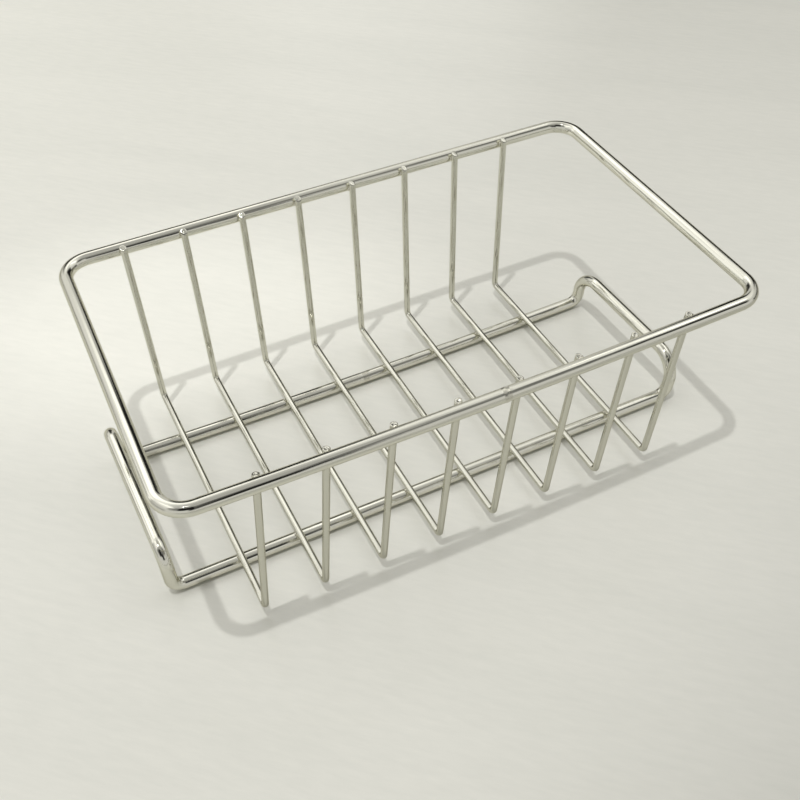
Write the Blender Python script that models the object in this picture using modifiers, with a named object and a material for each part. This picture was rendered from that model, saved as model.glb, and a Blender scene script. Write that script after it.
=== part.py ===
"""Sink organizer rack: an open basket of stainless steel wire.

A heavy wire loop makes the rim, a second one makes the base, and eight light
wires bent into a U hang from the rim and rest on the base. Every crossing is
resistance welded, and each loop is closed by one butt weld. Nothing moves.

Units are metres. X runs along the rack, -Y is the front, +Z is up. The origin
is on the surface that the rack stands on, under the middle of its box.
"""

import math

import bmesh
import bpy
from mathutils import Vector

MM = 0.001

# Wires and the clearance that welded pieces keep to each other
FRAME_WIRE = 5.2 * MM
RIB_WIRE = 2.7 * MM
WELD_GAP = 0.3 * MM

# Rim loop. Lengths, widths and heights of the loops are those of the wire's centre line,
# and each bend is given by the radius at its inner side.
RIM_LENGTH = 226.0 * MM
RIM_WIDTH = 133.0 * MM
RIM_HEIGHT = 84.6 * MM
RIM_SHIFT = 1.0 * MM
RIM_BEND_INSIDE = 7.7 * MM
RIM_FRONT_BOW = 1.3 * MM
RIM_WELD_X = 4.6 * MM

# Base loop: two rails on the table, turned up at both ends into a raised bar. The ends are
# bent by hand, so the two bars differ a little and both run slightly askew
BASE_LENGTH = 226.4 * MM
BASE_WIDTH = 70.3 * MM
BASE_SET_BACK = 2.9 * MM
BASE_BACK_BOW = 1.4 * MM
BASE_WELD_X = -1.9 * MM
LEFT_BAR_HEIGHT = 22.3 * MM
RIGHT_BAR_HEIGHT = 20.7 * MM
BAR_LEAN = 1.2 * MM
BAR_SKEW = 1.9 * MM
BACK_LEFT_LEG_LEAN = 3.0 * MM
LEFT_BAR_BEND_INSIDE = 5.4 * MM
RIGHT_BAR_BEND_INSIDE = 9.2 * MM
FOOT_BEND_INSIDE = 2.4 * MM

# Ribs: the pitch along the rack, and how far each row of tops or bends is off the middle
RIB_COUNT = 8
RIB_PITCH = 24.0 * MM
RIB_FRONT_TOP_PITCH = 23.5 * MM
RIB_BACK_TOP_SHIFT = -4.3 * MM
RIB_BACK_SHIFT = -3.4 * MM
RIB_FRONT_SHIFT = -1.5 * MM
RIB_FRONT_TOP_SHIFT = 0.9 * MM
RIB_FLOOR_WIDTH = 120.8 * MM
RIB_SET_BACK = 2.25 * MM
RIB_BEND_INSIDE = 0.8 * MM
RIB_BACK_TOP_RISE = 3.6 * MM
RIB_FRONT_TOP_RISE = 1.0 * MM

# Weld metal: a bead that is squeezed out beside each crossing, and the two butt welds
RIM_BEAD_RADIUS = 0.6 * MM
RIM_BEAD_HEIGHT = 3.0 * MM
BASE_BEAD_LENGTH = 2.0 * MM
BASE_BEAD_WIDTH = 2.4 * MM
BASE_BEAD_HEIGHT = 1.4 * MM
BUTT_WELD_LENGTH = 1.2 * MM
BUTT_WELD_SWELL = 0.2 * MM
BUTT_WELD_ROUNDING = 0.35 * MM

# Mesh fineness
FRAME_SIDES = 12
RIB_SIDES = 8
BOW_STEPS = 8
BEND_STEPS = 6
BEAD_SEGMENTS = 8
BEAD_RINGS = 6
WELD_SEGMENTS = 16
ROUNDING_SEGMENTS = 2
SHARP_ANGLE = math.radians(40)
LEVEL_SLOPE = 0.001

FRAME_RADIUS = FRAME_WIRE / 2
RIB_RADIUS = RIB_WIRE / 2
RAIL_HEIGHT = FRAME_RADIUS
RIM_BEND_RADIUS = RIM_BEND_INSIDE + FRAME_RADIUS
FOOT_BEND_RADIUS = FOOT_BEND_INSIDE + FRAME_RADIUS
RIB_BEND_RADIUS = RIB_BEND_INSIDE + RIB_RADIUS
RIB_FLOOR_HEIGHT = FRAME_WIRE + WELD_GAP + RIB_RADIUS
# The rim moves back by half of what its bow and weld stand out in front, so that the whole
# box stays centred on the origin
RIM_SET_BACK = (RIM_FRONT_BOW + BUTT_WELD_SWELL) / 2

STEEL_COLOUR = (0.66, 0.65, 0.61, 1.0)
STEEL_ROUGHNESS = 0.2
WELD_COLOUR = (0.58, 0.56, 0.52, 1.0)
WELD_ROUGHNESS = 0.38


def clear_scene():
    for thing in list(bpy.data.objects):
        bpy.data.objects.remove(thing, do_unlink=True)


def new_collection(name):
    collection = bpy.data.collections.new(name)
    bpy.context.scene.collection.children.link(collection)
    return collection


def metal(name, colour, roughness):
    material = bpy.data.materials.new(name)
    material.use_nodes = True
    shader = material.node_tree.nodes["Principled BSDF"]
    shader.inputs["Base Color"].default_value = colour
    shader.inputs["Metallic"].default_value = 1.0
    shader.inputs["Roughness"].default_value = roughness
    return material


def bend(before, corner, after, radius, steps):
    """Points of the arc that rounds a corner between two straight runs."""
    to_before = (before - corner).normalized()
    to_after = (after - corner).normalized()
    half_angle = to_before.angle(to_after) / 2
    bisector = (to_before + to_after).normalized()
    centre = corner + bisector * (radius / math.sin(half_angle))
    start = corner + to_before * (radius / math.tan(half_angle)) - centre
    end = corner + to_after * (radius / math.tan(half_angle)) - centre
    sweep = math.pi - 2 * half_angle
    points = []
    for step in range(steps + 1):
        turned = sweep * step / steps
        weight_start = math.sin(sweep - turned) / math.sin(sweep)
        weight_end = math.sin(turned) / math.sin(sweep)
        points.append(centre + start * weight_start + end * weight_end)
    return points


def round_corners(ends_and_corners, radii):
    """Path from the first point to the last, with an arc at each corner between them."""
    points = [ends_and_corners[0]]
    triples = zip(ends_and_corners, ends_and_corners[1:], ends_and_corners[2:], radii)
    for before, corner, after, radius in triples:
        points += bend(before, corner, after, radius, BEND_STEPS)
    points.append(ends_and_corners[-1])
    return points


def upright(direction):
    """The unit vector square to a direction that points up as far as it can."""
    up = Vector((0, 0, 1))
    return (up - direction * direction.dot(up)).normalized()


def level_turns(points, sides):
    """Turn of the section at each point that lays a flat underneath where the wire is level.

    An upright normal is carried along the wire without twist. On a level run the turn is
    what would bring that normal upright again, less whole sides. The other points take the
    turn of the next level run, and after the last one that run's.
    """
    runs = [(after - before).normalized() for before, after in zip(points, points[1:])]
    normal = upright(runs[0])
    turns = []
    for before, run in zip(runs[:1] + runs, runs):
        normal.rotate(before.rotation_difference(run))
        turn = None
        if abs(run.z) < LEVEL_SLOPE:
            above = upright(run)
            turn = math.atan2(normal.cross(above).dot(run), normal.dot(above))
            turn = math.remainder(turn, 2 * math.pi / sides)
        turns.append(turn)
    last_turn = [turn for turn in turns if turn is not None][-1]
    point_turns = []
    for index in range(len(points)):
        here_and_ahead = turns[max(index - 1, 0):] + [last_turn]
        point_turns.append(next(turn for turn in here_and_ahead if turn is not None))
    return point_turns


def wire(name, points, diameter, sides, material, collection):
    """Round wire along the points, as a prism whose flats lie at the wire's own diameter.

    Each section is turned by half a side, so that a level run has a flat on its underside.
    """
    curve = bpy.data.curves.new(name, "CURVE")
    curve.dimensions = "3D"
    curve.twist_mode = "MINIMUM"
    curve.bevel_depth = diameter / 2 / math.cos(math.pi / sides)
    curve.bevel_resolution = sides // 2 - 2
    curve.use_fill_caps = True
    spline = curve.splines.new("POLY")
    spline.points.add(len(points) - 1)
    for knot, place, turn in zip(spline.points, points, level_turns(points, sides)):
        knot.co = (*place, 1.0)
        knot.tilt = math.pi / sides + turn
    curve.materials.append(material)
    thing = bpy.data.objects.new(name, curve)
    collection.objects.link(thing)
    return thing


def bow_share(x, half_span):
    """How much of a bowed rail's bow there is at X: all at the middle, none past the ends."""
    return max(0.0, 1 - (x / half_span) ** 2)


def rim_front_y(x):
    """The front rail's centre line bows outwards a little between the bends."""
    bow = RIM_FRONT_BOW * bow_share(x - RIM_SHIFT, RIM_LENGTH / 2 - RIM_BEND_RADIUS)
    return RIM_SET_BACK - RIM_WIDTH / 2 - bow


def rim_back_y(_):
    """The back rail is straight, so its place is the same at every X."""
    return RIM_SET_BACK + RIM_WIDTH / 2


def base_front_y(_):
    """The base's front rail is straight too."""
    return BASE_SET_BACK - BASE_WIDTH / 2


def base_back_y(x):
    """The base's back rail bows inwards between the feet."""
    bow = BASE_BACK_BOW * bow_share(x, BASE_LENGTH / 2 - FOOT_BEND_RADIUS)
    return BASE_SET_BACK + BASE_WIDTH / 2 - bow


def rail_run(start, end, rail_y, height):
    """Points along a bowed rail from one X to another."""
    stations = [start + (end - start) * step / BOW_STEPS for step in range(BOW_STEPS + 1)]
    return [Vector((x, rail_y(x), height)) for x in stations]


def rim_points():
    """From one side of the butt weld round the rim to its other side."""
    right = RIM_SHIFT + RIM_LENGTH / 2
    left = RIM_SHIFT - RIM_LENGTH / 2
    right_straight = right - RIM_BEND_RADIUS
    left_straight = left + RIM_BEND_RADIUS
    half_weld = BUTT_WELD_LENGTH / 2 + WELD_GAP
    front = rim_front_y(right)
    back = rim_back_y(right)
    corners = [
        Vector((right_straight, front, RIM_HEIGHT)),
        Vector((right, front, RIM_HEIGHT)),
        Vector((right, back, RIM_HEIGHT)),
        Vector((left, back, RIM_HEIGHT)),
        Vector((left, front, RIM_HEIGHT)),
        Vector((left_straight, front, RIM_HEIGHT)),
    ]
    turns = round_corners(corners, [RIM_BEND_RADIUS] * (len(corners) - 2))
    first_run = rail_run(RIM_WELD_X + half_weld, right_straight, rim_front_y, RIM_HEIGHT)
    last_run = rail_run(left_straight, RIM_WELD_X - half_weld, rim_front_y, RIM_HEIGHT)
    # The outer arcs begin and end where the runs do, so the shared points are taken once
    return first_run + turns[2:-2] + last_run


def raised_end(side, bar_height, back_leg_lean):
    """Corners of one end: back foot, both ends of the raised bar, and front foot."""
    foot_x = side * BASE_LENGTH / 2
    bar_x = foot_x + side * BAR_LEAN
    front = base_front_y(foot_x)
    back = base_back_y(foot_x)
    return [
        Vector((foot_x, back, RAIL_HEIGHT)),
        Vector((bar_x - BAR_SKEW / 2, back + back_leg_lean, bar_height)),
        Vector((bar_x + BAR_SKEW / 2, front, bar_height)),
        Vector((foot_x, front, RAIL_HEIGHT)),
    ]


def raised_end_bends(bar_height, bar_bend_inside):
    """Radii at those corners. The bar's bend gives way where the leg is too short for it."""
    leg_room = bar_height - RAIL_HEIGHT - FOOT_BEND_RADIUS
    bar_bend_radius = min(bar_bend_inside + FRAME_RADIUS, leg_room)
    return [FOOT_BEND_RADIUS, bar_bend_radius, bar_bend_radius, FOOT_BEND_RADIUS]


def base_points():
    """From one side of the butt weld on the back rail round the base to its other side."""
    straight_half = BASE_LENGTH / 2 - FOOT_BEND_RADIUS
    half_weld = BUTT_WELD_LENGTH / 2 + WELD_GAP
    back = base_back_y(straight_half)
    right_end = raised_end(1, RIGHT_BAR_HEIGHT, 0)
    left_end = raised_end(-1, LEFT_BAR_HEIGHT, BACK_LEFT_LEG_LEAN)
    run_end = Vector((straight_half, back, RAIL_HEIGHT))
    run_start = Vector((-straight_half, back, RAIL_HEIGHT))
    corners = [run_end] + right_end + left_end[::-1] + [run_start]
    right_bends = raised_end_bends(RIGHT_BAR_HEIGHT, RIGHT_BAR_BEND_INSIDE)
    left_bends = raised_end_bends(LEFT_BAR_HEIGHT, LEFT_BAR_BEND_INSIDE)
    turns = round_corners(corners, right_bends + left_bends)
    first_run = rail_run(BASE_WELD_X + half_weld, straight_half, base_back_y, RAIL_HEIGHT)
    last_run = rail_run(-straight_half, BASE_WELD_X - half_weld, base_back_y, RAIL_HEIGHT)
    return first_run + turns[1:-1] + last_run


def rib_stations(index):
    """X of a rib at its back top, its back bend, its front bend and its front top."""
    place = index - (RIB_COUNT - 1) / 2
    back_top = place * RIB_PITCH + RIB_BACK_TOP_SHIFT
    back = place * RIB_PITCH + RIB_BACK_SHIFT
    front = place * RIB_PITCH + RIB_FRONT_SHIFT
    front_top = place * RIB_FRONT_TOP_PITCH + RIB_FRONT_TOP_SHIFT
    return back_top, back, front, front_top


def side_lean(rim_y, floor_y):
    """How far a rib's side moves outwards for each unit of height."""
    return (rim_y - floor_y) / (RIM_HEIGHT - RIB_FLOOR_HEIGHT)


def rib_points(index):
    """A U that touches the inner side of both rim rails and lies across both base rails."""
    back_top_x, back_x, front_x, front_top_x = rib_stations(index)
    seat = FRAME_RADIUS + WELD_GAP + RIB_RADIUS
    front_floor_y = RIB_SET_BACK - RIB_FLOOR_WIDTH / 2
    back_floor_y = RIB_SET_BACK + RIB_FLOOR_WIDTH / 2
    front_rim_y = rim_front_y(front_top_x) + seat
    back_rim_y = rim_back_y(back_top_x) - seat
    front_lean = side_lean(front_rim_y, front_floor_y)
    back_lean = side_lean(back_rim_y, back_floor_y)
    front_top_y = front_rim_y + front_lean * RIB_FRONT_TOP_RISE
    back_top_y = back_rim_y + back_lean * RIB_BACK_TOP_RISE
    corners = [
        Vector((front_top_x, front_top_y, RIM_HEIGHT + RIB_FRONT_TOP_RISE)),
        Vector((front_x, front_floor_y, RIB_FLOOR_HEIGHT)),
        Vector((back_x, back_floor_y, RIB_FLOOR_HEIGHT)),
        Vector((back_top_x, back_top_y, RIM_HEIGHT + RIB_BACK_TOP_RISE)),
    ]
    return round_corners(corners, [RIB_BEND_RADIUS, RIB_BEND_RADIUS])


def bead_mesh(name, radii, material):
    """Bead of weld metal: an ellipsoid round its own origin."""
    shape = bmesh.new()
    bmesh.ops.create_uvsphere(
        shape, u_segments=BEAD_SEGMENTS, v_segments=BEAD_RINGS, radius=1
    )
    bmesh.ops.scale(shape, vec=radii, verts=shape.verts)
    mesh = bpy.data.meshes.new(name)
    shape.to_mesh(mesh)
    shape.free()
    mesh.shade_smooth()
    mesh.materials.append(material)
    return mesh


def add_beads(name, mesh, centres, collection):
    """One bead for each rib, all with the same mesh."""
    for index, centre in enumerate(centres):
        thing = bpy.data.objects.new(f"{name}_{index + 1}", mesh)
        thing.location = centre
        collection.objects.link(thing)


def rim_bead_centres(rail_y, inwards, station):
    """Beside each rib, in the groove between the rib and the inner side of the rim."""
    off_rail = FRAME_RADIUS + WELD_GAP + RIM_BEAD_RADIUS
    rib_off_rail = FRAME_RADIUS + WELD_GAP + RIB_RADIUS
    off_rib = RIB_RADIUS + WELD_GAP + RIM_BEAD_RADIUS
    aside = math.sqrt(off_rib**2 - (rib_off_rail - off_rail) ** 2)
    centres = []
    for index in range(RIB_COUNT):
        x = rib_stations(index)[station] - aside
        centres.append(Vector((x, rail_y(x) + inwards * off_rail, RIM_HEIGHT)))
    return centres


def base_bead_centres(rail_y):
    """Beside each rib, on top of the base rail."""
    back_floor_y = RIB_SET_BACK + RIB_FLOOR_WIDTH / 2
    aside = RIB_RADIUS + WELD_GAP + BASE_BEAD_LENGTH / 2
    z = FRAME_WIRE + WELD_GAP + BASE_BEAD_HEIGHT / 2
    centres = []
    for index in range(RIB_COUNT):
        _, back, front, _ = rib_stations(index)
        share = (back_floor_y - rail_y(back)) / RIB_FLOOR_WIDTH
        x = back + (front - back) * share - aside
        centres.append(Vector((x, rail_y(x), z)))
    return centres


def butt_weld(name, centre, radius, material, collection):
    """The upset ring between the two ends of a loop's wire, with its edges rounded."""
    bpy.ops.mesh.primitive_cylinder_add(
        vertices=WELD_SEGMENTS,
        radius=radius,
        depth=BUTT_WELD_LENGTH,
        location=centre,
        rotation=(0, math.pi / 2, 0),
    )
    thing = bpy.context.object
    thing.name = name
    thing.data.name = name
    for owner in list(thing.users_collection):
        owner.objects.unlink(thing)
    collection.objects.link(thing)
    rounding = thing.modifiers.new("rounded edges", "BEVEL")
    rounding.width = BUTT_WELD_ROUNDING
    rounding.segments = ROUNDING_SEGMENTS
    rounding.limit_method = "ANGLE"
    rounding.angle_limit = SHARP_ANGLE
    thing.data.shade_smooth()
    thing.data.set_sharp_from_angle(angle=SHARP_ANGLE)
    thing.data.materials.append(material)
    return thing


def build():
    clear_scene()
    rack = new_collection("sink organizer rack")
    steel = metal("stainless steel wire", STEEL_COLOUR, STEEL_ROUGHNESS)
    weld = metal("weld metal", WELD_COLOUR, WELD_ROUGHNESS)

    wire("rim_loop", rim_points(), FRAME_WIRE, FRAME_SIDES, steel, rack)
    wire("base_frame", base_points(), FRAME_WIRE, FRAME_SIDES, steel, rack)
    for index in range(RIB_COUNT):
        wire(f"rib_{index + 1}", rib_points(index), RIB_WIRE, RIB_SIDES, steel, rack)

    rim_radii = Vector((RIM_BEAD_RADIUS, RIM_BEAD_RADIUS, RIM_BEAD_HEIGHT / 2))
    base_radii = Vector((BASE_BEAD_LENGTH, BASE_BEAD_WIDTH, BASE_BEAD_HEIGHT)) / 2
    rim_bead = bead_mesh("rim weld bead", rim_radii, weld)
    base_bead = bead_mesh("base weld bead", base_radii, weld)
    add_beads("front_rim_weld", rim_bead, rim_bead_centres(rim_front_y, 1, -1), rack)
    add_beads("back_rim_weld", rim_bead, rim_bead_centres(rim_back_y, -1, 0), rack)
    add_beads("front_base_weld", base_bead, base_bead_centres(base_front_y), rack)
    add_beads("back_base_weld", base_bead, base_bead_centres(base_back_y), rack)

    rim_weld_centre = (RIM_WELD_X, rim_front_y(RIM_WELD_X), RIM_HEIGHT)
    base_weld_centre = (BASE_WELD_X, base_back_y(BASE_WELD_X), RAIL_HEIGHT)
    butt_weld("rim_butt_weld", rim_weld_centre, FRAME_RADIUS + BUTT_WELD_SWELL, weld, rack)
    # The base's weld is dressed flush, because the rail lies on the table
    butt_weld("base_butt_weld", base_weld_centre, FRAME_RADIUS, weld, rack)


build()
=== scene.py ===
"""The sink organizer rack as it looks: polished stainless steel wire on a pale tiled floor.

Lengths are metres, in the same frame as the solids: X runs along the rack, -Y is its front
and Z = 0 is the surface that it stands on.
"""

import math

import bpy
import numpy as np
from mathutils import Euler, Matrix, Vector


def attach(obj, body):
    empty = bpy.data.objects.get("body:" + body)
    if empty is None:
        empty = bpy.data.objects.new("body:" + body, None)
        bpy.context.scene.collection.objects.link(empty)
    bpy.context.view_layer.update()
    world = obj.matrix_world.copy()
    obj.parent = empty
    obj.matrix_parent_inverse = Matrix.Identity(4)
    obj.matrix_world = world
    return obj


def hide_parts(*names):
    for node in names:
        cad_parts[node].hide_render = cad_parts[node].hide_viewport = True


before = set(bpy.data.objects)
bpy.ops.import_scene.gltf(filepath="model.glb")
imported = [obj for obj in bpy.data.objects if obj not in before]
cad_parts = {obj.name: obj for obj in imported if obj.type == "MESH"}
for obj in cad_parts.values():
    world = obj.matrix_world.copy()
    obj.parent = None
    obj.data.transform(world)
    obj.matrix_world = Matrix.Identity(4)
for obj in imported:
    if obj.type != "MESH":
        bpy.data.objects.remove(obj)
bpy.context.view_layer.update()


# Rim wire. One length of 5.2 mm stainless steel wire, drawn through a die, bent round four
# pins into a rounded rectangle, and polished with the finished rack. Its two ends meet in
# the front rail, which springs outwards a little between the bends.

MM = 0.001
FRAME_RADIUS = 2.6 * MM
FRAME_FACETS = 40
STATION_SPACING = 1.0 * MM
RAIL_POINTS = 60
ARC_LEAST_POINTS = 8
ARC_POINTS_PER_STATION = 4
SAME_POINT = 0.0001 * MM

RIM_HALF_LENGTH = 113.0 * MM
RIM_WIDTH = 133.0 * MM
RIM_HEIGHT = 84.6 * MM
RIM_BEND = 10.3 * MM
RIM_SET_BACK = 0.75 * MM
RIM_SHIFT = 1.0 * MM
RIM_FRONT_BOW = 1.3 * MM
RIM_WELD_X = 4.6 * MM
BUTT_WELD_HALF = 0.9 * MM

CROWN_ROWS = 14
CROWN_POWER = 0.55
BUTTED_CROWN = 0.3 * MM
POLISHED_OFF = 0.01 * MM
UNDERSIDE = (0, 0, -1)
SQUARE = ((0, 0), (0, 0))
NO_DISHES = (0, 0)
SHARP_ANGLE = math.radians(50)


def bow_share(x, half_span):
    """A parabola: one at the middle of the span, nothing at its ends and past them."""
    return np.maximum(0.0, 1 - (x / half_span) ** 2)


def rim_front_y(x):
    """Line of the rim's front rail: straight, less the bow."""
    bow = RIM_FRONT_BOW * bow_share(x - RIM_SHIFT, RIM_HALF_LENGTH - RIM_BEND)
    return RIM_SET_BACK - RIM_WIDTH / 2 - bow


def rail_run(start, end, rail_y, height):
    """Points of a bowed rail: evenly spaced in X, with Y from the rail's own line."""
    x = np.linspace(start, end, RAIL_POINTS)
    return np.stack([x, rail_y(x), np.full_like(x, height)], axis=1)


def rounded_path(corners, radii):
    """Straight runs joined by arcs. Each arc's centre lies on the corner's bisector, and its
    points are the centre plus the radius turned evenly from one run's end to the next's start.
    """
    corners = np.array(corners, float)
    points = [corners[:1]]
    for before, corner, after, radius in zip(corners, corners[1:], corners[2:], radii):
        back = (before - corner) / np.linalg.norm(before - corner)
        on = (after - corner) / np.linalg.norm(after - corner)
        half = math.acos(np.clip(back @ on, -1, 1)) / 2
        bisector = (back + on) / np.linalg.norm(back + on)
        centre = corner + bisector * radius / math.sin(half)
        start = corner + back * radius / math.tan(half) - centre
        end = corner + on * radius / math.tan(half) - centre
        sweep = math.pi - 2 * half
        stations = int(radius * sweep / STATION_SPACING * ARC_POINTS_PER_STATION)
        turned = np.linspace(0, sweep, max(ARC_LEAST_POINTS, stations))[:, None]
        arc = start * np.sin(sweep - turned) + end * np.sin(turned)
        points.append(centre + arc / math.sin(sweep))
    points.append(corners[-1:])
    return np.concatenate(points)


def distance_along(points):
    """Length of the line from its first point to each of its points."""
    steps = np.linalg.norm(np.diff(points, axis=0), axis=1)
    return np.concatenate([[0], np.cumsum(steps)])


def at_stops(stops, along, values):
    """Rows of values read off between those given at the distances along a line."""
    return np.stack([np.interp(stops, along, values[:, axis]) for axis in range(3)], axis=1)


def respaced(points, spacing):
    """The same line with its long runs divided into steps of at most the spacing."""
    steps = np.linalg.norm(np.diff(points, axis=0), axis=1)
    points = points[np.concatenate([[True], steps > SAME_POINT])]
    steps = np.linalg.norm(np.diff(points, axis=0), axis=1)
    along = distance_along(points)
    counts = np.maximum(1, np.ceil(steps / spacing).astype(int))
    stops = [np.linspace(a, b, n, endpoint=False) for a, b, n in zip(along, along[1:], counts)]
    return at_stops(np.concatenate(stops + [along[-1:]]), along, points)


def carried_frames(points, side):
    """Tangent and two directions across the line at each point. Each side direction is the
    one before it, less what lies along the new tangent, so the frame never spins.
    """
    steps = np.diff(points, axis=0)
    steps /= np.linalg.norm(steps, axis=1)[:, None]
    tangents = np.concatenate([steps[:1], steps[:-1] + steps[1:], steps[-1:]])
    tangents /= np.linalg.norm(tangents, axis=1)[:, None]
    side = np.array(side, float)
    sides = []
    for tangent in tangents:
        side = side - (side @ tangent) * tangent
        side = side / np.linalg.norm(side)
        sides.append(side)
    sides = np.array(sides)
    return tangents, sides, np.cross(tangents, sides)


def skin(name, rings, lengths):
    """Mesh over a grid of rings. The first and last ring have shrunk to a point, so each
    becomes one vertex. The UV map holds millimetres along the wire and round it.
    """
    count, facets = rings.shape[0] - 2, rings.shape[1]
    body = rings[1:-1].reshape(-1, 3)
    verts = np.concatenate([body, rings[0, :1], rings[-1, :1]])
    i, j = np.meshgrid(np.arange(count - 1), np.arange(facets), indexing="ij")
    row, next_row, k = i * facets, (i + 1) * facets, (j + 1) % facets
    quads = np.stack([row + j, row + k, next_row + k, next_row + j], -1).reshape(-1, 4)
    around = np.arange(facets)
    onward = (around + 1) % facets
    last_row = (count - 1) * facets
    first = np.stack([onward, around, np.full(facets, len(body))], -1)
    last = np.stack([last_row + around, last_row + onward, np.full(facets, len(body) + 1)], -1)
    mesh = bpy.data.meshes.new(name)
    mesh.from_pydata(verts.tolist(), [], quads.tolist() + first.tolist() + last.tolist())

    girth = np.linalg.norm(rings[count // 2, 0] - rings[count // 2, 1]) * facets
    u = lengths[1:-1] / MM
    v = np.arange(facets + 1) / facets * girth / MM
    sides = ((0, 0), (0, 1), (1, 1), (1, 0))
    quad_uv = np.stack([np.stack([u[i + a], v[j + b]], -1) for a, b in sides], 2)
    start, end = np.full(facets, u[0]), np.full(facets, u[-1])
    first_uv = np.stack([np.stack([start, v[around + b]], -1) for b in (1, 0, 0)], 1)
    last_uv = np.stack([np.stack([end, v[around + b]], -1) for b in (0, 1, 1)], 1)
    uv = np.concatenate([corners.reshape(-1, 2) for corners in (quad_uv, first_uv, last_uv)])
    mesh.uv_layers.new(name="wire")
    mesh.uv_layers["wire"].uv.foreach_set("vector", uv.astype(np.float32).ravel())
    mesh.validate()
    mesh.shade_smooth()
    mesh.set_sharp_from_angle(angle=SHARP_ANGLE)
    return mesh


def wire_mesh(name, points, radius, facets, side, crown, dishes, slants):
    """Round wire: each ring is its station plus the radius times the cosine of the angle
    along one side direction and the sine along the other. At each end the radius and the
    depth under the tip are powers of a sine and a cosine, which makes a rounded crown, with a
    dish of a squared share. The crown is slanted: its height changes with the offset across.
    """
    radius = radius - POLISHED_OFF
    points = respaced(points, STATION_SPACING)
    along = distance_along(points)
    turn = np.linspace(0, math.pi / 2, CROWN_ROWS)
    crown_radii = radius * np.sin(turn) ** CROWN_POWER
    depths = crown * (1 - np.cos(turn) ** CROWN_POWER)
    first, last = (depths + dish * (1 - crown_radii / radius) ** 2 for dish in dishes)
    clear = crown + radius / 2
    kept = along[(along > clear) & (along < along[-1] - clear)]
    stops = np.concatenate([first, kept, along[-1] - last[::-1]])
    radii = np.concatenate([crown_radii, np.full(len(kept), radius), crown_radii[::-1]])[:, None]
    stations, tangents, sides, ups = (
        at_stops(stops, along, values)[:, None] for values in (points, *carried_frames(points, side))
    )
    angles = np.arange(facets) / facets * 2 * math.pi
    across, upwards = radii * np.cos(angles), radii * np.sin(angles)
    ahead = np.zeros_like(across)
    ends = (slice(0, CROWN_ROWS), slice(-CROWN_ROWS, None))
    for rows, sign, slant in zip(ends, (1, -1), slants):
        rise = across[rows] * slant[0] + upwards[rows] * slant[1]
        ahead[rows] = sign * (np.max(rise) - rise)
    rings = stations + across[..., None] * sides + upwards[..., None] * ups
    rings = rings + ahead[..., None] * tangents
    return skin(name, rings, distance_along(stations[:, 0]))


def linear(code):
    """sRGB hex to linear RGBA."""
    values = np.array([int(code[i : i + 2], 16) / 255 for i in (1, 3, 5)])
    values = np.where(values <= 0.04045, values / 12.92, ((values + 0.055) / 1.055) ** 2.4)
    return (*values.tolist(), 1.0)


def add_node(tree, kind, inputs=None, **settings):
    """Adds a node, with its settings, and fills or links its inputs."""
    node = tree.nodes.new(kind)
    for name, value in settings.items():
        setattr(node, name, value)
    for name, value in (inputs or {}).items():
        if isinstance(value, bpy.types.NodeSocket):
            tree.links.new(value, node.inputs[name])
        else:
            node.inputs[name].default_value = value
    return node


def new_material(name):
    """An empty material with its output, and the shader that goes into it."""
    material = bpy.data.materials.new(name)
    material.use_nodes = True
    tree = material.node_tree
    tree.nodes.clear()
    shader = add_node(tree, "ShaderNodeBsdfPrincipled")
    add_node(tree, "ShaderNodeOutputMaterial", {"Surface": shader.outputs["BSDF"]})
    return material, tree, shader


STEEL = linear("#DEDDD2")
GRAZING_TINT = linear("#CECCC1")
HEAVY_WIRE_ROUGHNESS = 0.07
ROUGHNESS_SHARES = (0.7, 1.4)
DIE_LINE_RANGE = (0.3, 0.7)
DIE_LINE_DEPTH = 0.085 * MM
WAVE_DEPTH = 0.05 * MM
# Lengths and widths of the pattern, in the UV map's millimetres
DIE_LINE_SIZE = (70.0, 0.6)
WAVE_SIZE = (14.0, 4.0)


def stretched_noise(tree, vector, size, **settings):
    """Noise in patches of this length and width, as seen from the vector's own units."""
    scale = (1 / size[0], 1 / size[1], 1)
    stretched = add_node(tree, "ShaderNodeMapping", {"Vector": vector, "Scale": scale})
    inputs = {"Vector": stretched.outputs["Vector"], "Scale": 1.0, **settings}
    return add_node(tree, "ShaderNodeTexNoise", inputs).outputs["Fac"]


def ramp(tree, value, reach, levels, interpolation="LINEAR"):
    """Goes from one level to the other as the value passes through the reach."""
    inputs = {"Value": value, "From Min": reach[0], "From Max": reach[1]}
    inputs |= {"To Min": levels[0], "To Max": levels[1]}
    node = add_node(tree, "ShaderNodeMapRange", inputs, interpolation_type=interpolation)
    return node.outputs["Result"]


def drawn_steel(name, tint, roughness):
    """Drawn and polished stainless steel wire: bright and warm grey, with sharp reflections
    that fine lines from the die and a slight waviness pull along the wire.
    The real lines are a few hundredths of a millimetre wide; these are as coarse as shows.
    """
    material, tree, shader = new_material(name)
    shader.inputs["Metallic"].default_value = 1.0
    shader.inputs["Base Color"].default_value = tint
    shader.inputs["Specular Tint"].default_value = GRAZING_TINT
    uv = add_node(tree, "ShaderNodeUVMap", uv_map="wire").outputs["UV"]
    lines = stretched_noise(tree, uv, DIE_LINE_SIZE, Detail=3.0)
    waves = stretched_noise(tree, uv, WAVE_SIZE, Detail=1.0)
    rough = ramp(tree, lines, DIE_LINE_RANGE, [roughness * share for share in ROUGHNESS_SHARES])
    tree.links.new(rough, shader.inputs["Roughness"])
    wavy = {"Height": waves, "Distance": WAVE_DEPTH, "Strength": 1.0}
    wavy = add_node(tree, "ShaderNodeBump", wavy).outputs["Normal"]
    lined = {"Height": lines, "Distance": DIE_LINE_DEPTH, "Strength": 1.0, "Normal": wavy}
    lined = add_node(tree, "ShaderNodeBump", lined).outputs["Normal"]
    tree.links.new(lined, shader.inputs["Normal"])
    return material


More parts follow.
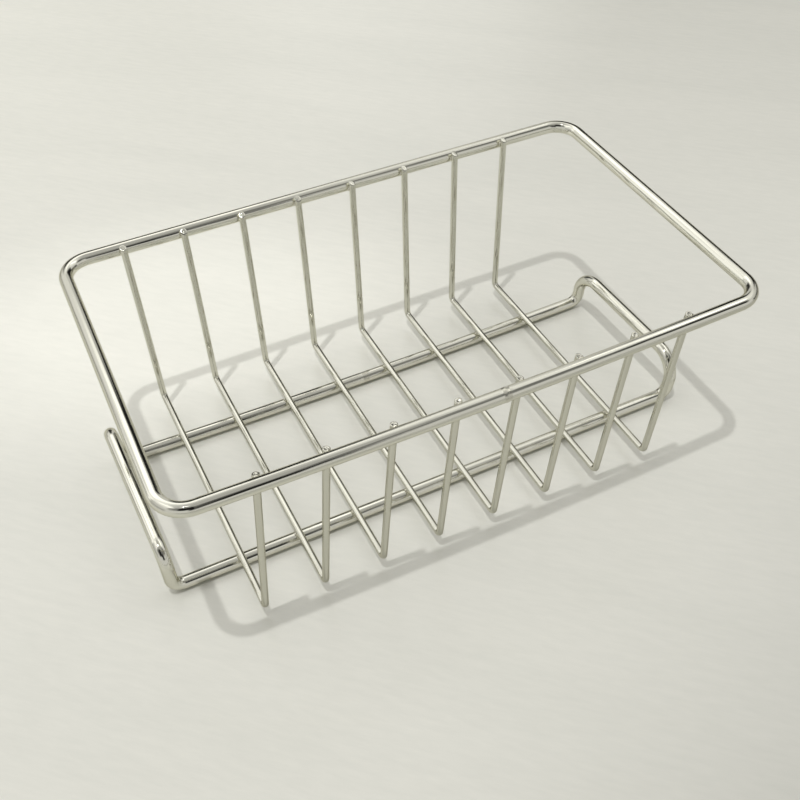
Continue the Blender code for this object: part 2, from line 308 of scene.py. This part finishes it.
def add_piece(name, mesh, material, slot, *nodes):
    """Puts a mesh in the scene as a piece that stands for these solids."""
    mesh.materials.append(material)
    piece = bpy.data.objects.new(name, mesh)
    bpy.context.scene.collection.objects.link(piece)
    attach(piece, "root")
    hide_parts(*nodes)


frame_steel = drawn_steel(
    "drawn and polished stainless steel, heavy wire", STEEL, HEAVY_WIRE_ROUGHNESS
)

rim_right = RIM_SHIFT + RIM_HALF_LENGTH
rim_left = RIM_SHIFT - RIM_HALF_LENGTH
rim_front = RIM_SET_BACK - RIM_WIDTH / 2
rim_back = RIM_SET_BACK + RIM_WIDTH / 2
rim_turns = rounded_path(
    [
        (rim_right - RIM_BEND, rim_front, RIM_HEIGHT),
        (rim_right, rim_front, RIM_HEIGHT),
        (rim_right, rim_back, RIM_HEIGHT),
        (rim_left, rim_back, RIM_HEIGHT),
        (rim_left, rim_front, RIM_HEIGHT),
        (rim_left + RIM_BEND, rim_front, RIM_HEIGHT),
    ],
    [RIM_BEND] * 4,
)
rim_path = np.concatenate(
    [
        rail_run(RIM_WELD_X + BUTT_WELD_HALF, rim_right - RIM_BEND, rim_front_y, RIM_HEIGHT),
        rim_turns[2:-2],
        rail_run(rim_left + RIM_BEND, RIM_WELD_X - BUTT_WELD_HALF, rim_front_y, RIM_HEIGHT),
    ]
)
butted_ends = (UNDERSIDE, BUTTED_CROWN, NO_DISHES, SQUARE)
rim_mesh = wire_mesh("rim_wire", rim_path, FRAME_RADIUS, FRAME_FACETS, *butted_ends)
add_piece("rim_wire", rim_mesh, frame_steel, "frame_wire", "rim_loop")


# Base wire. The same heavy wire in one loop: two rails lie on the table, and each end turns
# up into a raised bar. The ends were bent by hand, so the bars differ and run slightly
# askew. The back rail bows inwards, and the wire's ends meet in it.

BASE_HALF_LENGTH = 113.2 * MM
BASE_WIDTH = 70.3 * MM
BASE_SET_BACK = 2.9 * MM
BASE_BACK_BOW = 1.4 * MM
BASE_WELD_X = -1.9 * MM
LEFT_BAR_HEIGHT = 22.3 * MM
RIGHT_BAR_HEIGHT = 20.7 * MM
BAR_LEAN = 1.2 * MM
BAR_SKEW = 1.9 * MM
BACK_LEFT_LEG_LEAN = 3.0 * MM
LEFT_BAR_BEND = 8.0 * MM
RIGHT_BAR_BEND = 11.8 * MM
FOOT_BEND = 5.0 * MM
RAIL_HEIGHT = FRAME_RADIUS

base_front = BASE_SET_BACK - BASE_WIDTH / 2
base_back = BASE_SET_BACK + BASE_WIDTH / 2
base_straight = BASE_HALF_LENGTH - FOOT_BEND


def base_back_y(x):
    """Line of the base's back rail: straight, less a bow inwards."""
    return base_back - BASE_BACK_BOW * bow_share(x, base_straight)


def raised_end(side, bar_height, back_leg_lean):
    """Corners of one end: back foot, the raised bar's back and front, and front foot."""
    foot_x = side * BASE_HALF_LENGTH
    bar_x = foot_x + side * BAR_LEAN
    return [
        (foot_x, base_back, RAIL_HEIGHT),
        (bar_x - BAR_SKEW / 2, base_back + back_leg_lean, bar_height),
        (bar_x + BAR_SKEW / 2, base_front, bar_height),
        (foot_x, base_front, RAIL_HEIGHT),
    ]


right_end = raised_end(1, RIGHT_BAR_HEIGHT, 0)
left_end = raised_end(-1, LEFT_BAR_HEIGHT, BACK_LEFT_LEG_LEAN)[::-1]
right_start = (base_straight, base_back, RAIL_HEIGHT)
left_stop = (-base_straight, base_back, RAIL_HEIGHT)
right_bends = [FOOT_BEND, RIGHT_BAR_BEND, RIGHT_BAR_BEND, FOOT_BEND]
left_bends = [FOOT_BEND, LEFT_BAR_BEND, LEFT_BAR_BEND, FOOT_BEND]
base_turns = rounded_path([right_start, *right_end, *left_end, left_stop], right_bends + left_bends)
base_path = np.concatenate(
    [
        rail_run(BASE_WELD_X + BUTT_WELD_HALF, base_straight, base_back_y, RAIL_HEIGHT),
        base_turns[1:-1],
        rail_run(-base_straight, BASE_WELD_X - BUTT_WELD_HALF, base_back_y, RAIL_HEIGHT),
    ]
)
base_mesh = wire_mesh("base_wire", base_path, FRAME_RADIUS, FRAME_FACETS, *butted_ends)
add_piece("base_wire", base_mesh, frame_steel, "frame_wire", "base_frame")


# Ribs. Eight lengths of 2.7 mm wire, each bent into a U round two sharp pins and sheared off
# just above the rim, on its inner side. Tumbling has rounded the sheared edges. The front
# ends are dished, and each end slants its own way, the back ones mostly towards the front.

RIB_RADIUS = 1.35 * MM
RIB_FACETS = 36
RIB_COUNT = 8
RIB_PITCH = 24.0 * MM
RIB_FRONT_TOP_PITCH = 23.5 * MM
RIB_BACK_TOP_SHIFT = -4.3 * MM
RIB_BACK_SHIFT = -3.4 * MM
RIB_FRONT_SHIFT = -1.5 * MM
RIB_FRONT_TOP_SHIFT = 0.9 * MM
RIB_FLOOR_WIDTH = 120.8 * MM
RIB_SET_BACK = 2.25 * MM
RIB_BEND = 2.15 * MM
RIB_BACK_TOP_RISE = 3.6 * MM
RIB_FRONT_TOP_RISE = 1.0 * MM
RIB_CROWN = 0.4 * MM
RIB_DISHES = (0.5 * MM, 0)
FRONT_SLANTS = (-0.3, 0.25)
BACK_SLANT = 0.5
SLANT_SPREAD = 0.1
SLANT_SEED = 7
RIGHT_SIDE = (1, 0, 0)
LIGHT_WIRE_STEEL = linear("#D2D1C6")
LIGHT_WIRE_ROUGHNESS = 0.09

# Crossed wires all but touch, so that no face of one lies in a face of the other
WIRE_GAP = 0.05 * MM
RIB_SEAT = FRAME_RADIUS + WIRE_GAP + RIB_RADIUS
RIB_HEIGHT = RAIL_HEIGHT + RIB_SEAT


def rib_corners(index):
    """A rib's top, two bends and other top, from its front to its back."""
    place = index - (RIB_COUNT - 1) / 2
    x = [
        place * RIB_FRONT_TOP_PITCH + RIB_FRONT_TOP_SHIFT,
        place * RIB_PITCH + RIB_FRONT_SHIFT,
        place * RIB_PITCH + RIB_BACK_SHIFT,
        place * RIB_PITCH + RIB_BACK_TOP_SHIFT,
    ]
    front = RIB_SET_BACK - RIB_FLOOR_WIDTH / 2
    back = RIB_SET_BACK + RIB_FLOOR_WIDTH / 2
    front_rise = 1 + RIB_FRONT_TOP_RISE / (RIM_HEIGHT - RIB_HEIGHT)
    back_rise = 1 + RIB_BACK_TOP_RISE / (RIM_HEIGHT - RIB_HEIGHT)
    front_top = front + (rim_front_y(x[0]) + RIB_SEAT - front) * front_rise
    back_top = back + (rim_back - RIB_SEAT - back) * back_rise
    y = [front_top, front, back, back_top]
    front_end, back_end = RIM_HEIGHT + RIB_FRONT_TOP_RISE, RIM_HEIGHT + RIB_BACK_TOP_RISE
    return np.stack([x, y, [front_end, RIB_HEIGHT, RIB_HEIGHT, back_end]], axis=1)


rib_steel = drawn_steel(
    "drawn and polished stainless steel, light wire", LIGHT_WIRE_STEEL, LIGHT_WIRE_ROUGHNESS
)
random = np.random.default_rng(SLANT_SEED)
for index in range(RIB_COUNT):
    rib_path = rounded_path(rib_corners(index), [RIB_BEND, RIB_BEND])
    rib_name = f"rib_wire_{index + 1}"
    slants = random.normal(0, SLANT_SPREAD, (2, 2))
    slants[0, 1] -= np.interp(index, (0, RIB_COUNT - 1), FRONT_SLANTS)
    slants[1, 1] += BACK_SLANT
    sheared_ends = (RIGHT_SIDE, RIB_CROWN, RIB_DISHES, slants)
    rib_mesh = wire_mesh(rib_name, rib_path, RIB_RADIUS, RIB_FACETS, *sheared_ends)
    add_piece(rib_name, rib_mesh, rib_steel, "rib_wire", f"rib_{index + 1}")


# Crossing welds. Current through two crossed wires melts the spot where they touch. The
# metal freezes as a small fillet round the contact, with a bead squeezed out on the left.

WELD_REACH = 0.6 * MM
WELD_SINK = 0.08 * MM
WELD_POINTS = 48
WELD_ROWS = 14
WELD_WOBBLE = 0.06
WELD_WAVES = (2, 3, 5)
PHASES = (0, 6.3)
BEAD_ANGLE = math.pi
BEAD_SPREAD = 0.75
BEAD_PUSH = 0.85
FILLET_PULL = 0.25
NEAR_EDGE_SHARE = 0.98
WELD_PATTERN_LENGTH = 3 * MM
WELD_TINT = linear("#C2BFB1")
WELD_ROUGHNESS = 0.24
WELD_GRAIN_SIZE = 0.5 * MM
WELD_GRAIN_DEPTH = 0.05 * MM


def crossing_weld(name, centre, along_rib, outwards, seed):
    """A closed skirt round the contact of two crossed wires. Its lower edge lies on the rail
    where the gap between the wires has grown by the reach, its upper edge lies on the rib,
    and the rows between them are drawn in, or pushed out where the bead is.
    """
    random = np.random.default_rng(seed)
    angle = np.arange(WELD_POINTS) / WELD_POINTS * 2 * math.pi
    rail_half = math.sqrt(RIB_RADIUS**2 - (RIB_RADIUS - WELD_REACH) ** 2)
    rib_half = math.sqrt(FRAME_RADIUS**2 - (FRAME_RADIUS - WELD_REACH) ** 2)
    wobble = 1 + sum(
        WELD_WOBBLE * random.normal() * np.cos(n * angle + random.uniform(*PHASES))
        for n in WELD_WAVES
    )
    u = rail_half * np.cos(angle) * wobble
    v = rib_half * np.sin(angle) * wobble
    bead = np.exp(-(((angle - BEAD_ANGLE) / BEAD_SPREAD) ** 2))
    low = np.sqrt(FRAME_RADIUS**2 - v**2) - WELD_SINK
    off_rib = np.minimum(np.abs(u), RIB_RADIUS * NEAR_EDGE_SHARE)
    high = RIB_SEAT - np.sqrt(RIB_RADIUS**2 - off_rib**2) + WELD_SINK
    t = np.linspace(0, 1, WELD_ROWS)[:, None]
    pull = (FILLET_PULL - BEAD_PUSH * bead) * (high - low) * np.sin(math.pi * t)
    scale = 1 - pull / np.hypot(u, v)
    local = np.stack([u * scale, v * scale, low + (high - low) * t], -1)
    first, last = np.zeros((2, 1, WELD_POINTS, 3))
    first[..., 2] = FRAME_RADIUS - 4 * WELD_SINK
    last[..., 2] = FRAME_RADIUS + WIRE_GAP + 4 * WELD_SINK
    local = np.concatenate([first, local, last])
    rings = np.array(centre) + local @ np.array([RIGHT_SIDE, along_rib, outwards])
    return skin(name, rings, np.linspace(0, WELD_PATTERN_LENGTH, len(rings)))


def weld_steel(name):
    """Weld metal that froze in air and was only lightly polished: duller, faintly straw."""
    material, tree, shader = new_material(name)
    shader.inputs["Metallic"].default_value = 1.0
    shader.inputs["Roughness"].default_value = WELD_ROUGHNESS
    place = add_node(tree, "ShaderNodeTexCoord").outputs["Object"]
    grain = {"Vector": place, "Scale": 1 / WELD_GRAIN_SIZE, "Detail": 3.0}
    grain = add_node(tree, "ShaderNodeTexNoise", grain).outputs["Fac"]
    tint = {"Factor": grain, "A": STEEL, "B": WELD_TINT}
    tint = add_node(tree, "ShaderNodeMix", tint, data_type="RGBA").outputs["Result"]
    tree.links.new(tint, shader.inputs["Base Color"])
    rough = {"Height": grain, "Distance": WELD_GRAIN_DEPTH, "Strength": 1.0}
    rough = add_node(tree, "ShaderNodeBump", rough).outputs["Normal"]
    tree.links.new(rough, shader.inputs["Normal"])
    return material


def rib_x(index, y, z):
    """X of a rib where it passes a place, along the nearest of its three runs."""
    corners = rib_corners(index)
    if abs(z - RIB_HEIGHT) < RIB_RADIUS:
        share = (y - corners[1, 1]) / (corners[2, 1] - corners[1, 1])
        return corners[1, 0] + (corners[2, 0] - corners[1, 0]) * share
    low, high = (corners[1], corners[0]) if y < 0 else (corners[2], corners[3])
    share = (z - low[2]) / (high[2] - low[2])
    return low[0] + (high[0] - low[0]) * share


weld_metal = weld_steel("resistance weld metal, lightly polished")
for index in range(RIB_COUNT):
    front_rim_x = rib_x(index, rim_front, RIM_HEIGHT)
    back_rim_x = rib_x(index, rim_back, RIM_HEIGHT)
    front_base_x = rib_x(index, base_front, RIB_HEIGHT)
    back_base_x = rib_x(index, base_back, RIB_HEIGHT)
    # Row, centre of the rail, way of the rib and way out of the rail
    crossings = (
        ("front_rim", (front_rim_x, rim_front_y(front_rim_x), RIM_HEIGHT), (0, 0, -1), (0, 1, 0)),
        ("back_rim", (back_rim_x, rim_back, RIM_HEIGHT), (0, 0, 1), (0, -1, 0)),
        ("front_base", (front_base_x, base_front, RAIL_HEIGHT), (0, 1, 0), (0, 0, 1)),
        ("back_base", (back_base_x, base_back_y(back_base_x), RAIL_HEIGHT), (0, 1, 0), (0, 0, 1)),
    )
    for row, (rail, centre, along_rib, outwards) in enumerate(crossings, 1):
        name = f"{rail}_joint_{index + 1}"
        mesh = crossing_weld(name, centre, along_rib, outwards, 100 * row + index)
        add_piece(name, mesh, weld_metal, "weld", f"{rail}_weld_{index + 1}")


# Butt welds. The two ends of each loop were pressed together hot, which left a ring of
# upset metal that was ground back. The rim's still stands out a little.

BUTT_FACETS = 48
BUTT_ROWS = 24
BUTT_HALF = 1.6 * MM
BUTT_WAVES = (3, 5, 7, 11)
BUTT_TWIST = 5
BUTT_WAVE_SHARE = 0.2
RIDGE_WIDTH = 0.5
RIDGE_SHARE = 0.7
EDGE_SINK = 0.02 * MM
RIM_WELD_SWELL = 0.17 * MM
RIM_WELD_SEED = 7
BASE_WELD_SWELL = 0.0
BASE_WELD_SEED = 8


def butt_weld(name, centre, swell, seed):
    """A short sleeve along X round both wire ends: the wire's radius plus a swelling that
    dies away from the middle, roughened by a few waves round it.
    """
    random = np.random.default_rng(seed)
    t = np.linspace(-1, 1, BUTT_ROWS)[:, None]
    angle = (np.arange(BUTT_FACETS) / BUTT_FACETS * 2 * math.pi)[None]
    waves = sum(
        random.normal() * np.cos(n * angle + random.uniform(*PHASES) + BUTT_TWIST * t)
        for n in BUTT_WAVES
    )
    ridge = np.exp(-((t / RIDGE_WIDTH) ** 2))
    fade = 1 - t**4
    swelling = swell * ridge * (RIDGE_SHARE + BUTT_WAVE_SHARE * waves) * fade
    radius = np.minimum(FRAME_RADIUS + swelling - EDGE_SINK * (1 - fade), FRAME_RADIUS + swell)
    along = np.broadcast_to(t * BUTT_HALF, radius.shape)
    offsets = np.stack([along, -radius * np.cos(angle), -radius * np.sin(angle)], axis=-1)
    rings = np.array(centre) + offsets
    ends = np.array(centre) + np.array([[-BUTT_HALF, 0, 0], [BUTT_HALF, 0, 0]])
    first, last = (np.repeat(end[None, None], BUTT_FACETS, axis=1) for end in ends)
    rings = np.concatenate([first, rings, last])
    lengths = np.concatenate([[0], np.linspace(0, 2 * BUTT_HALF, BUTT_ROWS), [2 * BUTT_HALF]])
    return skin(name, rings, lengths)


rim_centre = (RIM_WELD_X, rim_front_y(RIM_WELD_X), RIM_HEIGHT)
rim_joint = butt_weld("rim_butt_joint", rim_centre, RIM_WELD_SWELL, RIM_WELD_SEED)
add_piece("rim_butt_joint", rim_joint, weld_metal, "weld", "rim_butt_weld")
base_centre = (BASE_WELD_X, base_back_y(BASE_WELD_X), RAIL_HEIGHT)
base_joint = butt_weld("base_butt_joint", base_centre, BASE_WELD_SWELL, BASE_WELD_SEED)
add_piece("base_butt_joint", base_joint, weld_metal, "weld", "base_butt_weld")


# Floor. Pale porcelain tile, polished, with long faint clouds and a fine grain that both run across
# it. Light and shade are painted into its colour: a painted pool of window light and a painted glow
# at the far left, and painted shade at the near right that stands for the photographer's shadow.

FLOOR_HALF = 9.0
TILE_DARK = linear("#DCDCD4")
TILE_LIGHT = linear("#E8E7DF")
TILE_ROUGHNESS = 0.25
CLOUD_SIZE = (260 * MM, 38 * MM)
CLOUD_TURN = math.radians(-42)
GRAIN_SIZE = (12 * MM, 2.5 * MM)
GRAIN_SHARE = 0.9
TONE_RANGE = (0.45, 1.45)
PAINTED_SHADE_WAY = (0.4, -0.9, 0)
PAINTED_SHADE_REACH = (80 * MM, 270 * MM)
PAINTED_SHADE_LEVEL = 0.68
PAINTED_GLOW_WAY = (-0.55, 0.83, 0)
PAINTED_GLOW_REACH = (60 * MM, 450 * MM)
PAINTED_GLOW_LEVEL = 1.28
PAINTED_POOL_PLACE = (-60 * MM, 112 * MM, 0)
PAINTED_POOL_TURN = math.radians(-20)
PAINTED_POOL_SIZE = (170 * MM, 110 * MM, 1)
PAINTED_POOL_REACH = (0.3, 1.0)
PAINTED_POOL_LEVEL = 1.19

floor_mesh = bpy.data.meshes.new("floor")
quarters = ((-1, -1), (1, -1), (1, 1), (-1, 1))
floor_corners = [(x * FLOOR_HALF, y * FLOOR_HALF, 0) for x, y in quarters]
floor_mesh.from_pydata(floor_corners, [], [(0, 1, 2, 3)])
floor = bpy.data.objects.new("floor", floor_mesh)
bpy.context.scene.collection.objects.link(floor)


def distance_towards(tree, place, way):
    """How far a place lies from the origin in a direction."""
    inputs = {0: place, 1: way}
    return add_node(tree, "ShaderNodeVectorMath", inputs, operation="DOT_PRODUCT").outputs["Value"]


def product(tree, first, second):
    """One value times another."""
    inputs = {0: first, 1: second}
    return add_node(tree, "ShaderNodeMath", inputs, operation="MULTIPLY").outputs["Value"]


tile, tree, shader = new_material("polished porcelain tile, pale warm grey")
shader.inputs["Roughness"].default_value = TILE_ROUGHNESS
place = add_node(tree, "ShaderNodeTexCoord").outputs["Object"]
turned = add_node(tree, "ShaderNodeMapping", {"Vector": place, "Rotation": (0, 0, -CLOUD_TURN)})
turned = turned.outputs["Vector"]
clouds = stretched_noise(tree, turned, CLOUD_SIZE, Detail=6.0, Roughness=0.6, Distortion=0.4)
grain = stretched_noise(tree, turned, GRAIN_SIZE, Detail=3.0, Roughness=0.6)
mixed = add_node(
    tree, "ShaderNodeMath", {0: grain, 1: GRAIN_SHARE, 2: clouds}, operation="MULTIPLY_ADD"
)
tone = ramp(tree, mixed.outputs["Value"], TONE_RANGE, (0.0, 1.0))
tone = {"Factor": tone, "A": TILE_DARK, "B": TILE_LIGHT}
tone = add_node(tree, "ShaderNodeMix", tone, data_type="RGBA").outputs["Result"]

# Painted shade: the tile's colour is darkened towards the near right, standing for the
# photographer's shadow.
shade = distance_towards(tree, place, PAINTED_SHADE_WAY)
shade = ramp(tree, shade, PAINTED_SHADE_REACH, (1.0, PAINTED_SHADE_LEVEL), "SMOOTHSTEP")
# Painted pool of light: the tile's colour is brightened in a soft oval at the far left, standing for
# window light.
pool = {"Vector": place, "Location": PAINTED_POOL_PLACE, "Rotation": (0, 0, PAINTED_POOL_TURN), "Scale": PAINTED_POOL_SIZE}
pool = add_node(tree, "ShaderNodeMapping", pool, vector_type="TEXTURE").outputs["Vector"]
pool = add_node(tree, "ShaderNodeVectorMath", {0: pool}, operation="LENGTH").outputs["Value"]
pool = ramp(tree, pool, PAINTED_POOL_REACH, (PAINTED_POOL_LEVEL, 1.0), "SMOOTHSTEP")
# Painted glow: the tile's colour is brightened steadily towards the far left.
glow = ramp(tree, distance_towards(tree, place, PAINTED_GLOW_WAY), PAINTED_GLOW_REACH, (1.0, PAINTED_GLOW_LEVEL))
# The painted shade, pool of light and glow together scale the tile's colour.
level = product(tree, product(tree, shade, pool), glow)
shaded = add_node(tree, "ShaderNodeVectorMath", {0: tone, "Scale": level}, operation="SCALE")
tree.links.new(shaded.outputs["Vector"], shader.inputs["Base Color"])
floor_mesh.materials.append(tile)


# Light. A lamp almost overhead and a little to the left casts the soft shadows. The rest is
# a room with a bright ceiling, a window on the left, dark furniture along the far walls and
# the dark figure of the photographer.

LAMP_PLACE = (-0.417, -0.192, 2.533)
LAMP_SIZE = 0.06
LAMP_POWER = 16.5
ROOM_TINT = linear("#FFFEFA")
ROOM_LEVEL = 0.83
WALL_LEVEL = 0.6
BACKDROP = linear("#DEDCD6")

lamp_data = bpy.data.lights.new("lamp", "AREA")
lamp_data.shape = "DISK"
lamp_data.size = LAMP_SIZE
lamp_data.energy = LAMP_POWER
lamp = bpy.data.objects.new("lamp", lamp_data)
lamp.location = LAMP_PLACE
lamp.rotation_euler = (-Vector(LAMP_PLACE)).to_track_quat("-Z", "Y").to_euler()
bpy.context.scene.collection.objects.link(lamp)

world = bpy.data.worlds.new("room")
bpy.context.scene.world = world
world.use_nodes = True
tree = world.node_tree
tree.nodes.clear()


def in_degrees(tree, operation, *values):
    """An angle from one of the inverse functions, in degrees."""
    angle = add_node(tree, "ShaderNodeMath", dict(enumerate(values)), operation=operation)
    inputs = {0: angle.outputs["Value"]}
    return add_node(tree, "ShaderNodeMath", inputs, operation="DEGREES").outputs["Value"]


direction = add_node(tree, "ShaderNodeTexCoord").outputs["Generated"]
parts = add_node(tree, "ShaderNodeSeparateXYZ", {"Vector": direction}).outputs
azimuth = in_degrees(tree, "ARCTAN2", parts["X"], parts["Y"])
elevation = in_degrees(tree, "ARCSINE", parts["Z"])
off_far = add_node(tree, "ShaderNodeMath", {0: azimuth}, operation="ABSOLUTE").outputs["Value"]


def within(value, low, high, softness):
    """One between two places, nothing outside them, with a smooth step at each."""
    steps = [
        ramp(tree, value, (place - softness, place + softness), (0.0, 1.0), "SMOOTHSTEP")
        for place in (low, high)
    ]
    inputs = {0: steps[0], 1: steps[1]}
    return add_node(tree, "ShaderNodeMath", inputs, operation="SUBTRACT").outputs["Value"]


# Level, angle from the far side, its limits, limits of the elevation, and softness, in
# degrees. Azimuths are positive towards the right; each patch covers those before it.
patches = (
    (0.85, off_far, (-1, 110), (18, 75), 6),  # ceiling towards the far wall
    (1.25, off_far, (-1, 105), (36, 66), 5),  # its brighter middle
    (1.1, azimuth, (-38, -6), (14, 38), 4),  # pale far wall
    (0.85, azimuth, (16, 36), (-1, 34), 4),  # the wall between the furniture
    (1.95, azimuth, (-34, 24), (41, 56), 4),  # ceiling lit by the window
    (1.0, azimuth, (36, 56), (36, 48), 3),  # wall over the furniture
    (2.5, azimuth, (52, 98), (50, 56), 2),  # ceiling light on the right
    (1.5, azimuth, (-66, -43), (9, 45), 4),  # window on the left
    (0.5, azimuth, (-80, -20), (-1, 9), 3),  # wall under the window
    (0.05, azimuth, (-10, 17), (-1, 33), 2.5),  # furniture at the far wall
    (0.08, azimuth, (12, 21), (-1, 14), 2),  # its lower part on the right
    (0.02, azimuth, (34, 68), (-1, 34), 2.5),  # taller furniture on the right
    (0.85, off_far, (108, 181), (-1, 33), 4),  # wall behind the camera
    (0.27, off_far, (110, 181), (38, 60), 5),  # ceiling behind the camera
    (0.05, azimuth, (120, 139), (29, 48), 4),  # doorway
    (0.03, off_far, (164, 181), (20, 46), 4),  # photographer
    (0.02, azimuth, (-181, -134), (34, 67), 4),  # the photographer's arm
    (1.9, azimuth, (-108, -48), (54, 68), 4),  # ceiling light on the left
    (0.02, azimuth, (57, 112), (-1, 10), 3),  # dark skirting on the right
)
light = add_node(tree, "ShaderNodeValue").outputs["Value"]
light.default_value = WALL_LEVEL
for patch_level, angle, angles, heights, softness in patches:
    mask = product(
        tree, within(angle, *angles, softness), within(elevation, *heights, softness)
    )
    covered = {"Factor": mask, "A": light, "B": patch_level}
    light = add_node(tree, "ShaderNodeMix", covered, data_type="FLOAT").outputs["Result"]
light = product(tree, light, ROOM_LEVEL)

room = add_node(tree, "ShaderNodeBackground", {"Color": ROOM_TINT, "Strength": light})
plain = add_node(tree, "ShaderNodeBackground", {"Color": BACKDROP, "Strength": 1.0})
seen = add_node(tree, "ShaderNodeLightPath").outputs["Is Camera Ray"]
both = {"Fac": seen, 1: room.outputs["Background"], 2: plain.outputs["Background"]}
both = add_node(tree, "ShaderNodeMixShader", both).outputs["Shader"]
add_node(tree, "ShaderNodeOutputWorld", {"Surface": both})


# Camera. A phone held above the rack's left front corner.

CAMERA_PLACE = (-0.12481, -0.25583, 0.3211)
CAMERA_AIM = (0.0071, 0.01873, 0.0)
CAMERA_ROLL = math.radians(-0.67)
CAMERA_LENS = 44.5
CAMERA_SENSOR = 36.0
NEAREST_SEEN = 0.01

camera_data = bpy.data.cameras.new("camera")
camera_data.lens = CAMERA_LENS
camera_data.sensor_width = CAMERA_SENSOR
camera_data.clip_start = NEAREST_SEEN
camera = bpy.data.objects.new("camera", camera_data)
look = (Vector(CAMERA_AIM) - Vector(CAMERA_PLACE)).to_track_quat("-Z", "Y")
camera.rotation_mode = "QUATERNION"
camera.rotation_quaternion = look @ Euler((0, 0, CAMERA_ROLL)).to_quaternion()
camera.location = CAMERA_PLACE
bpy.context.scene.collection.objects.link(camera)
bpy.context.scene.camera = camera
bpy.context.scene.view_settings.view_transform = "Standard"
